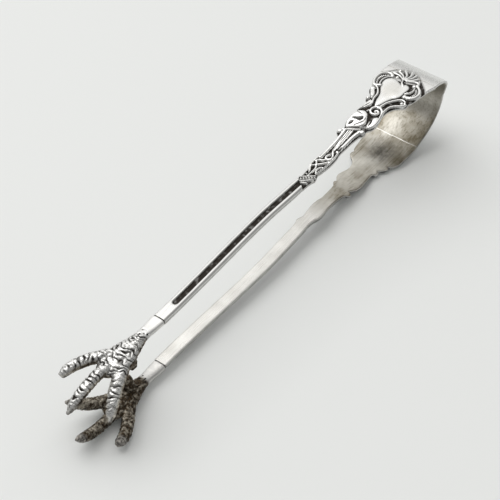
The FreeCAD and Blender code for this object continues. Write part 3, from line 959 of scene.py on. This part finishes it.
def arm(s, k, side):
    """One struck arm, a closed shell.

    Along it, columns are close over the ornament. Across it, rows stand at fixed places
    and are held at the outline where it is narrower: y = clip(row, right, left). The outer face
    is the arm's side view plus the relief. In front of the seam only the shell's tip lies on
    the bow's strip.
    """
    fine = np.arange(-k.tip - 0.2, -k.ornament_end, -k.fine)
    x = np.concatenate([fine, np.arange(-k.ornament_end, -s.arm_end, -k.coarse), [-s.arm_end]])
    seam = s.bow_end + s.solder
    before = np.count_nonzero(x > -seam)
    x = np.concatenate([x[:before], [-seam + 1e-4, -seam], x[before:]])
    back = -x
    y_rows = np.arange(6.6, -11.3, -k.fine)
    on_tongue = back < seam
    brow = smooth_line(CARTOUCHE_BROW)
    tip = brow[:, 0].argmax()
    tongue_left = np.interp(x, brow[: tip + 1, 0], brow[: tip + 1, 1])
    tongue_right = np.interp(x, brow[tip:, 0][::-1], brow[tip:, 1][::-1])
    left = np.where(on_tongue, tongue_left, edge_at(LEFT_EDGE, x))
    right = np.where(on_tongue, tongue_right, edge_at(RIGHT_EDGE, x))
    height, dark = struck_relief(k, x, y_rows, left, right)

    y = np.clip(y_rows[None, :], right[:, None], left[:, None])
    # read the relief at the held places, between the grid's rows
    where = (y_rows[0] - y) / k.fine
    low = np.clip(np.floor(where).astype(int), 0, len(y_rows) - 2)
    part = where - low
    column = np.arange(len(x))[:, None]
    top_height = height[column, low] * (1 - part) + height[column, low + 1] * part
    top_dark = dark[column, low] * (1 - part) + dark[column, low + 1] * part
    edge = np.minimum(left[:, None] - y, y - right[:, None])
    top_height = top_height - 0.22 * (1 - smooth_step(edge / 0.4))
    outer = arm_height(s, back, 1)
    inner = arm_height(s, back, 0)
    strip = np.sqrt((s.flank_round + s.strip - 0.06) ** 2 - np.maximum(s.flank_x - back, 0) ** 2) - s.flank_z
    base = np.where(on_tongue, strip, inner)
    top = outer[:, None] + top_height

    wall = np.array([0.2, 0.5, 0.8])
    right_wall = top[:, -1:] + (base[:, None] - top[:, -1:]) * wall
    left_wall = top[:, :1] + (base[:, None] - top[:, :1]) * wall[::-1]
    bulge = 0.08 * np.sin(wall * math.pi)
    across = np.linspace(0, 1, 30)
    under_y = right[:, None] + (left - right)[:, None] * across
    under_edge = np.minimum(left[:, None] - under_y, under_y - right[:, None])
    smear = np.exp(-(((x[:, None] + 23.0) / 5.0) ** 2) - ((under_y + 1.5) / 4.5) ** 2) * (~on_tongue)[:, None]
    under = base[:, None] + 0.14 * (1 - smooth_step(under_edge / 0.35)) + 0 * under_y
    ones = np.ones((len(x), 1))
    ys = np.concatenate([y, right[:, None] - bulge, under_y, left[:, None] + bulge], axis=1)
    zs = np.concatenate([top, right_wall, under, left_wall], axis=1)
    xs = np.broadcast_to(x[:, None], ys.shape)
    shield = smooth_step((0.9 - np.hypot((x[:, None] + 25.5) / 5.5, (y + 1.2) / 4.0)) / 0.5)
    # The side walls are darkened a little as a painted dark reflection. The smear on the under face is
    # tarnish.
    darks = np.concatenate([top_dark, 0.3 * ones * np.ones(3), 0.6 * smear, 0.3 * ones * np.ones(3)], axis=1)
    cleaner = 1 - 0.6 * smooth_step((back - 48.0) / 16.0)[:, None]
    inners = np.concatenate(
        [0.45 * shield, 0.5 * ones * wall, cleaner * np.ones(under.shape), 0.5 * ones * wall[::-1]], axis=1
    )
    points = np.stack([xs, ys, zs], axis=-1).reshape(-1, 3)
    if side == "lower":
        points = points * TURNED_OVER
    faces = grid_faces(len(x), ys.shape[1])
    attributes = {"dark": darks, "inner": inners}
    return new_piece(f"{side}_struck_arm", points, faces, attributes, finish("struck silver"), merge=0.004)


# ---------------------------------------------------------------- the cast claws

# The claw's own frame has its origin at the middle of the stem's end, -X ahead of the stem
# and +Z towards the back of the claw.
PALM = [
    (0.0, 2.0, 0.95, 0.0, 0.0),
    (-3.0, 1.9, 1.0, 0.0, 0.0),
    (-6.5, 1.75, 1.2, 0.0, 0.0),
    (-9.5, 2.3, 1.65, 0.0, -0.2),
    (-12.0, 3.1, 1.8, 0.0, -0.3),
    (-15.0, 3.9, 1.8, 0.1, -0.4),
    (-18.5, 3.9, 1.6, 0.2, -0.7),
    (-21.5, 2.6, 1.2, 0.6, -1.0),
    (-22.8, 0.9, 0.6, 0.8, -1.1),
]
TOES = {
    "side_toe": (
        [(-14.5, 1.5, -0.7), (-18.5, 4.4, -0.4), (-22.2, 6.8, -0.5), (-25.6, 8.2, -0.8), (-28.4, 8.9, -1.8)],
        (1.75, 1.75, 1.75, 1.75, 1.7, 1.65, 1.5, 0.9),
    ),
    "middle_toe": (
        [(-17.0, 0.8, -0.7), (-23.0, 0.9, -0.3), (-28.4, 0.9, -0.9), (-32.4, 1.0, -2.6), (-35.2, 1.1, -4.6)],
        (1.8, 1.7, 1.65, 1.65, 1.65, 1.5, 1.15, 0.4),
    ),
    "near_toe": (
        [
            (-15.0, -1.6, -0.7), (-19.6, -3.1, -1.5), (-23.8, -4.7, -3.4), (-27.0, -6.2, -5.6),
            (-29.2, -7.3, -7.5),
        ],
        (1.85, 1.85, 1.85, 1.85, 1.8, 1.6, 1.2, 0.4),
    ),
    "spur": (
        [
            (-11.3, 0.0, -0.2), (-12.1, -0.3, -2.0), (-12.5, -0.6, -3.6), (-12.5, -0.9, -5.0),
            (-12.3, -1.0, -6.2),
        ],
        (1.8, 1.75, 1.7, 1.7, 1.65, 1.6, 1.5, 1.1),
    ),
}
TOE_STEPS = 12


def toe_line(name):
    """A toe's middle line, its radius at each point and its length so far."""
    points, radii = TOES[name]
    line = smooth_line(points, steps=TOE_STEPS)
    radius = np.interp(np.linspace(0, 1, len(line)), np.linspace(0, 1, len(radii)), radii)
    step = np.linalg.norm(np.diff(line, axis=0), axis=1)
    return line, radius, np.concatenate([[0], np.cumsum(step)])


def swept(line, radii, flat=1.0, around=28):
    """A tube along a line: line + radius (cos a * side + flat * sin a * back), closed at both ends."""
    ahead = np.gradient(line, axis=0)
    ahead /= np.linalg.norm(ahead, axis=1)[:, None]
    side = np.cross(ahead, [0.0, 0.05, 1.0])
    side /= np.linalg.norm(side, axis=1)[:, None]
    back = np.cross(side, ahead)
    a = np.linspace(0, 2 * math.pi, around, endpoint=False)
    ring = np.cos(a)[None, :, None] * side[:, None, :] + flat * np.sin(a)[None, :, None] * back[:, None, :]
    return (line[:, None, :] + radii[:, None, None] * ring).reshape(-1, 3), grid_faces(len(line), around)


def palm_tube(around=36):
    """The palm: ellipses (y + half width cos a, z + half height sin a) at smooth stations."""
    stations = smooth_line(PALM, steps=5)
    a = np.linspace(0, 2 * math.pi, around, endpoint=False)
    x = np.broadcast_to(stations[:, :1], (len(stations), around))
    corner = 1 / (np.abs(np.cos(a)) ** 3 + np.abs(np.sin(a)) ** 3) ** (1 / 3)
    boxy = np.clip(1 + stations[:, :1] / 9, 0, 1)
    stretch = 1 + (corner - 1) * boxy
    y = stations[:, 3:4] + stations[:, 1:2] * np.cos(a) * stretch
    z = stations[:, 4:5] + stations[:, 2:3] * np.sin(a) * stretch
    return np.stack([x, y, z], axis=-1).reshape(-1, 3), grid_faces(len(stations), around)


def merged_claw(c):
    """Palm and toes as one skin: closed tubes merged on a voxel grid, then evened out."""
    parts = [palm_tube()]
    for name in TOES:
        line, radius, _ = toe_line(name)
        parts.append(swept(line, radius, 0.86 if name != "spur" else 1.0))
    points = []
    faces = []
    for part_points, part_faces in parts:
        start = sum(len(p) for p in points)
        points.append(part_points)
        faces += [[start + i for i in face] for face in part_faces]
    mesh = bpy.data.meshes.new("claw_blank")
    mesh.from_pydata(np.concatenate(points), [], faces)
    work = bmesh.new()
    work.from_mesh(mesh)
    bmesh.ops.recalc_face_normals(work, faces=work.faces)
    work.to_mesh(mesh)
    work.free()
    blank = bpy.data.objects.new("claw_blank", mesh)
    bpy.context.scene.collection.objects.link(blank)
    remesh = blank.modifiers.new("merge", "REMESH")
    remesh.mode = "VOXEL"
    remesh.voxel_size = c.voxel
    even = blank.modifiers.new("even", "SMOOTH")
    even.factor = 0.5
    even.iterations = 12
    skin = bpy.data.meshes.new_from_object(blank.evaluated_get(bpy.context.evaluated_depsgraph_get()))
    count = len(skin.vertices)
    at = np.zeros(count * 3)
    skin.vertices.foreach_get("co", at)
    normal = np.zeros(count * 3)
    skin.vertices.foreach_get("normal", normal)
    polygons = [tuple(face.vertices) for face in skin.polygons]
    bpy.data.objects.remove(blank)
    bpy.data.meshes.remove(mesh)
    bpy.data.meshes.remove(skin)
    return at.reshape(-1, 3), normal.reshape(-1, 3), polygons


def nearest_toe(at):
    """For each point, how far outside each toe's skin it is, and its place along the nearest."""
    best = np.full(len(at), 1e9)
    along = np.zeros(len(at))
    share_along = np.zeros(len(at))
    which = np.full(len(at), -1)
    for number, name in enumerate(TOES):
        line, radius, so_far = toe_line(name)
        away = np.linalg.norm(at[:, None, :] - line[None, :, :], axis=2) - radius[None, :]
        near = away.argmin(axis=1)
        # a smooth place along the toe: carry the leftover along the toe's direction
        ahead = np.gradient(line, axis=0)
        ahead /= np.linalg.norm(ahead, axis=1)[:, None]
        extra = ((at - line[near]) * ahead[near]).sum(axis=1)
        closer = away[np.arange(len(at)), near] < best
        best = np.where(closer, away[np.arange(len(at)), near], best)
        along = np.where(closer, so_far[near] + extra, along)
        share_along = np.where(closer, (so_far[near] + extra) / so_far[-1], share_along)
        which = np.where(closer, number, which)
    return best, along, share_along, which


def claw(s, c, side):
    """One cast claw: the merged skin with wrinkles across its toes and palm.

    On the back, height = -wrinkle (1 - |sin(pi place / pitch)|^0.6), where place runs along the toe
    or the palm and wavers sideways. Inside, the skin is rough and pitted. The nails are plainer.
    Only what faces away from the other claw is worn bright.
    """
    at, normal, polygons = merged_claw(c)
    outside, along, share_along, which = nearest_toe(at)
    spur = which == list(TOES).index("spur")
    on_toe = smooth_step((0.9 - outside) / 0.8) * smooth_step((along - 4.0) / 2.5) * ~spur
    waver = ripple(at, 5.5, 1) * 0.34 + ripple(at, 2.2, 2) * 0.2
    toe_place = along / c.pitch + waver
    palm_place = -at[:, 0] / (c.pitch * 1.12) + 0.28 * np.abs(at[:, 1]) + 1.5 * waver
    toe_fold = 1 - np.abs(np.sin(math.pi * toe_place)) ** 0.6
    palm_fold = 1 - np.abs(np.sin(math.pi * palm_place)) ** 0.6
    fold = palm_fold + (toe_fold - palm_fold) * on_toe
    fold = np.clip(fold * (1.05 + 0.75 * ripple(at, 3.1, 8)), 0, 1)
    worn = smooth_step((normal[:, 2] - 0.2) / 0.55)
    on_back = smooth_step((normal[:, 2] + 0.45) / 0.6)
    nail = smooth_step((share_along - 0.80) / 0.08) * on_toe
    plain = 1 - smooth_step((-at[:, 0] - 6.3) / 1.2)
    wrinkled = (1 - plain) * (1 - 0.85 * nail) * (0.3 + 0.7 * on_back)
    rough = ripple(at, 0.9, 3) * 0.06 + ripple(at, 0.45, 4) * 0.035
    height = -c.wrinkle * fold * wrinkled + rough * (1 - plain) * (0.35 + 0.65 * (1 - worn))
    pits = smooth_step((ripple(at, 1.1, 5) - 0.62) / 0.2) * smooth_step((-at[:, 0] - 5.0) / 1.0)
    pits = pits * smooth_step((11.5 + at[:, 0]) / 1.5)
    height = height - 0.28 * pits
    at = at + normal * height[:, None]

    speck = smooth_step((ripple(at, 0.9, 6) * 0.5 + ripple(at, 0.38, 7) * 0.5 - 0.02) / 0.35)
    dark = np.clip(fold * 1.5 - 0.12, 0, 1) * wrinkled * (0.4 + 0.6 * worn)
    dark = np.maximum(dark, 0.95 * pits)
    dark = np.maximum(dark, 0.6 * speck * (1 - worn) * (1 - plain))
    dark = np.maximum(dark, 0.5 * nail * speck * worn)
    dark = np.maximum(dark, 0.65 * speck * worn * (1 - plain))
    inner = (1 - worn) * (0.25 + 0.75 * (1 - plain)) * (1 - 0.3 * nail)
    place = np.array([-s.arm_end - s.solder, 0, s.end_gap + s.stem_thick / 2])
    at = at + place
    at[:, 0] = np.minimum(at[:, 0], -s.arm_end - s.solder)
    if side == "lower":
        at = at * TURNED_OVER
    attributes = {"dark": dark, "inner": inner}
    return new_piece(f"{side}_cast_claw", at, polygons, attributes, finish("cast silver"))


# ---------------------------------------------------------------- the solder

def bow_solder(s, side):
    """The line of solder across the strip, a little proud inside and flush outside.

    Its inner face stands in by bead cos^2 of the place across the line.
    """
    across, out, level = strip_ring(30, 3)
    bead = 0.09
    middle = s.bow_end + s.solder / 2
    reach = 0.24
    places = reach * np.array([-1, -0.6, -0.25, 0.25, 0.6, 1])
    back = (middle + places)[:, None]
    swell = bead * np.cos(places / reach * math.pi / 2)[:, None] ** 2
    depth = level * (s.strip - 0.04) - (1 - level) * (swell - 0.02)
    z = np.sqrt((s.flank_round + depth) ** 2 - (s.flank_x - back) ** 2) - s.flank_z
    waver = 0.05 * np.sin(across * 9) + 0.04 * np.sin(across * 23 + 1)
    half = (s.band_left + s.band_right) / 2 - 0.34
    y = (s.band_left - s.band_right) / 2 + across * half + out * 0.26 + 0 * back
    x = -back + waver * (1 - level)
    points = np.stack([x + 0 * y, y, z], axis=-1).reshape(-1, 3)
    if side == "lower":
        points = points * TURNED_OVER
    attributes = {"dark": np.zeros(y.shape), "inner": 0.6 * np.ones(y.shape)}
    faces = grid_faces(len(places), len(across))
    return new_piece(f"{side}_bow_seam", points, faces, attributes, finish("soldered silver"))


def claw_solder(s, side):
    """The line of solder between stem and claw: a thin slab just under both surfaces."""
    across, out, level = strip_ring(16, 3)
    under = 0.1
    x = np.array([-s.arm_end + 0.1, -s.arm_end - s.solder - 0.1])[:, None] + 0 * across
    y = across * (1.85 - 0.3 - under) + out * 0.3
    z = s.end_gap + under + level * (s.stem_thick - 2.4 * under) - 0.1 * level * across ** 2
    points = np.stack([x, y + 0 * x, z + 0 * x], axis=-1).reshape(-1, 3)
    if side == "lower":
        points = points * TURNED_OVER
    blank = np.ones(x.shape)
    attributes = {"dark": 0.8 * blank, "inner": 0 * blank}
    faces = grid_faces(2, len(across))
    return new_piece(f"{side}_claw_seam", points, faces, attributes, finish("soldered silver"))


# ---------------------------------------------------------------- operators

class TONGS_OT_bow(bpy.types.Operator):
    """Make the two halves of the bow, which bend from the crown to the arms"""

    bl_idname = "tongs.make_bow"
    bl_label = "Bow"

    def execute(self, context):
        s, _, _ = sizes()
        for side, turn in (("upper", np.ones(3)), ("lower", TURNED_OVER)):
            half = bow_half(s, side)
            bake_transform(half)
            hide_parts("bow")
        return {"FINISHED"}


class TONGS_OT_arms(bpy.types.Operator):
    """Make the two struck arms with their ornament and channel"""

    bl_idname = "tongs.make_arms"
    bl_label = "Arms"

    def execute(self, context):
        s, k, _ = sizes()
        for side in ("upper", "lower"):
            piece = arm(s, k, side)
            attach(piece, f"{side}_arm")
            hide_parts(f"{side}_arm")
        return {"FINISHED"}


class TONGS_OT_claws(bpy.types.Operator):
    """Make the two cast claws"""

    bl_idname = "tongs.make_claws"
    bl_label = "Claws"

    def execute(self, context):
        s, _, c = sizes()
        for side in ("upper", "lower"):
            piece = claw(s, c, side)
            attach(piece, f"{side}_arm")
            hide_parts(f"{side}_claw")
        return {"FINISHED"}


class TONGS_OT_solder(bpy.types.Operator):
    """Make the four lines of solder"""

    bl_idname = "tongs.make_solder"
    bl_label = "Solder"

    def execute(self, context):
        s, _, _ = sizes()
        for side in ("upper", "lower"):
            for make, name in ((bow_solder, "bow_solder"), (claw_solder, "claw_solder")):
                seam = make(s, side)
                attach(seam, f"{side}_arm")
                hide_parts(f"{side}_{name}")
        return {"FINISHED"}


def area_light(name, place, aim, size, power, tint):
    """A square soft light at a place in metres, turned towards another."""
    light = bpy.data.lights.new(name, "AREA")
    light.size = size
    light.energy = power
    light.color = tint
    lamp = bpy.data.objects.new(name, light)
    back = np.array(place) - np.array(aim)
    back /= np.linalg.norm(back)
    side = np.cross([0.0, 0.0, 1.0] if abs(back[2]) < 0.99 else [0.0, 1.0, 0.0], back)
    side /= np.linalg.norm(side)
    turn = np.column_stack([side, np.cross(back, side), back])
    lamp.matrix_world = Matrix.Translation(place) @ Matrix(turn.tolist()).to_4x4()
    bpy.context.scene.collection.objects.link(lamp)


def soft_studio(scene):
    """A soft world: a broad bright patch behind the tongs, high up, that fades to a dim grey.

    brightness = dim + (bright - dim) smooth(cosine of the angle to the patch's middle).
    """
    world = bpy.data.worlds.new("studio")
    scene.world = world
    world.use_nodes = True
    tree = world.node_tree
    where = tree.nodes.new("ShaderNodeTexCoord")
    towards = tree.nodes.new("ShaderNodeVectorMath")
    towards.operation = "DOT_PRODUCT"
    towards.inputs[1].default_value = (0.42, 0.50, 0.757)
    fade = tree.nodes.new("ShaderNodeMapRange")
    fade.interpolation_type = "SMOOTHSTEP"
    fade.inputs["From Min"].default_value = 0.42
    fade.inputs["From Max"].default_value = 0.92
    tree.links.new(where.outputs["Generated"], towards.inputs[0])
    tree.links.new(towards.outputs["Value"], fade.inputs["Value"])
    shade = mix_colour(tree, fade.outputs["Result"], (0.33, 0.332, 0.328), (1.08, 1.08, 1.07))
    tree.links.new(shade, tree.nodes["Background"].inputs["Color"])


class TONGS_OT_stage(bpy.types.Operator):
    """Set up the pale floor, the soft lights and the camera"""

    bl_idname = "tongs.set_stage"
    bl_label = "Stage"

    def execute(self, context):
        scene = context.scene
        half = 3.0
        mesh = bpy.data.meshes.new("floor")
        corners = [(-half, -half, 0), (half, -half, 0), (half, half, 0), (-half, half, 0)]
        mesh.from_pydata(corners, [], [(0, 1, 2, 3)])
        paint = bpy.data.materials.new("pale floor")
        paint.use_nodes = True
        shader = paint.node_tree.nodes["Principled BSDF"]
        shader.inputs["Base Color"].default_value = (*scene.silver_colours.floor, 1)
        shader.inputs["Roughness"].default_value = 0.9
        mesh.materials.append(paint)
        floor = bpy.data.objects.new("floor", mesh)
        scene.collection.objects.link(floor)

        scene.view_settings.view_transform = "Standard"
        soft_studio(scene)
        area_light("overhead", (-0.1, 0.55, 1.1), (0, 0, 0), 1.3, 8.0, (1.0, 0.995, 0.985))

        v = in_millimetres(scene.stage_sizes)
        sine, cosine = math.sin(v.azimuth), math.cos(v.azimuth)
        level = math.cos(v.elevation)
        back = np.array([sine * level, -cosine * level, math.sin(v.elevation)])
        right = np.array([cosine, sine, 0.0])
        up = np.cross(back, right)
        rolled_right = math.cos(v.roll) * right + math.sin(v.roll) * up
        rolled_up = math.cos(v.roll) * up - math.sin(v.roll) * right
        place = np.array([v.look_at, 0, 0]) - v.aside * rolled_right - v.lowered * rolled_up + v.away * back
        turn = TURN @ np.column_stack([rolled_right, rolled_up, back])
        lens = bpy.data.cameras.new("camera")
        lens.lens = v.lens
        camera = bpy.data.objects.new("camera", lens)
        camera.matrix_world = Matrix.Translation(to_row(place)) @ Matrix(turn.tolist()).to_4x4()
        scene.collection.objects.link(camera)
        scene.camera = camera
        return {"FINISHED"}


class TONGS_PT_panel(bpy.types.Panel):
    """Lists the steps that make the tongs"""

    bl_idname = "TONGS_PT_panel"
    bl_label = "Ice tongs"
    bl_space_type = "VIEW_3D"
    bl_region_type = "UI"
    bl_category = "Ice tongs"

    def draw(self, context):
        for operator in STEPS:
            self.layout.operator(operator.bl_idname)


GROUPS = {
    "tongs_sizes": TongsSizes,
    "relief_sizes": ReliefSizes,
    "claw_sizes": ClawSizes,
    "silver_colours": SilverColours,
    "stage_sizes": StageSizes,
}
STEPS = [TONGS_OT_bow, TONGS_OT_arms, TONGS_OT_claws, TONGS_OT_solder, TONGS_OT_stage]


def register():
    for part in [*GROUPS.values(), *STEPS, TONGS_PT_panel]:
        bpy.utils.register_class(part)
    for name, group in GROUPS.items():
        setattr(bpy.types.Scene, name, PointerProperty(type=group))


def unregister():
    for name in GROUPS:
        delattr(bpy.types.Scene, name)
    for part in reversed([*GROUPS.values(), *STEPS, TONGS_PT_panel]):
        bpy.utils.unregister_class(part)


def main():
    register()
    bpy.ops.tongs.make_bow()
    bpy.ops.tongs.make_arms()
    bpy.ops.tongs.make_claws()
    bpy.ops.tongs.make_solder()
    bpy.ops.tongs.set_stage()


if __name__ == "__main__":
    main()
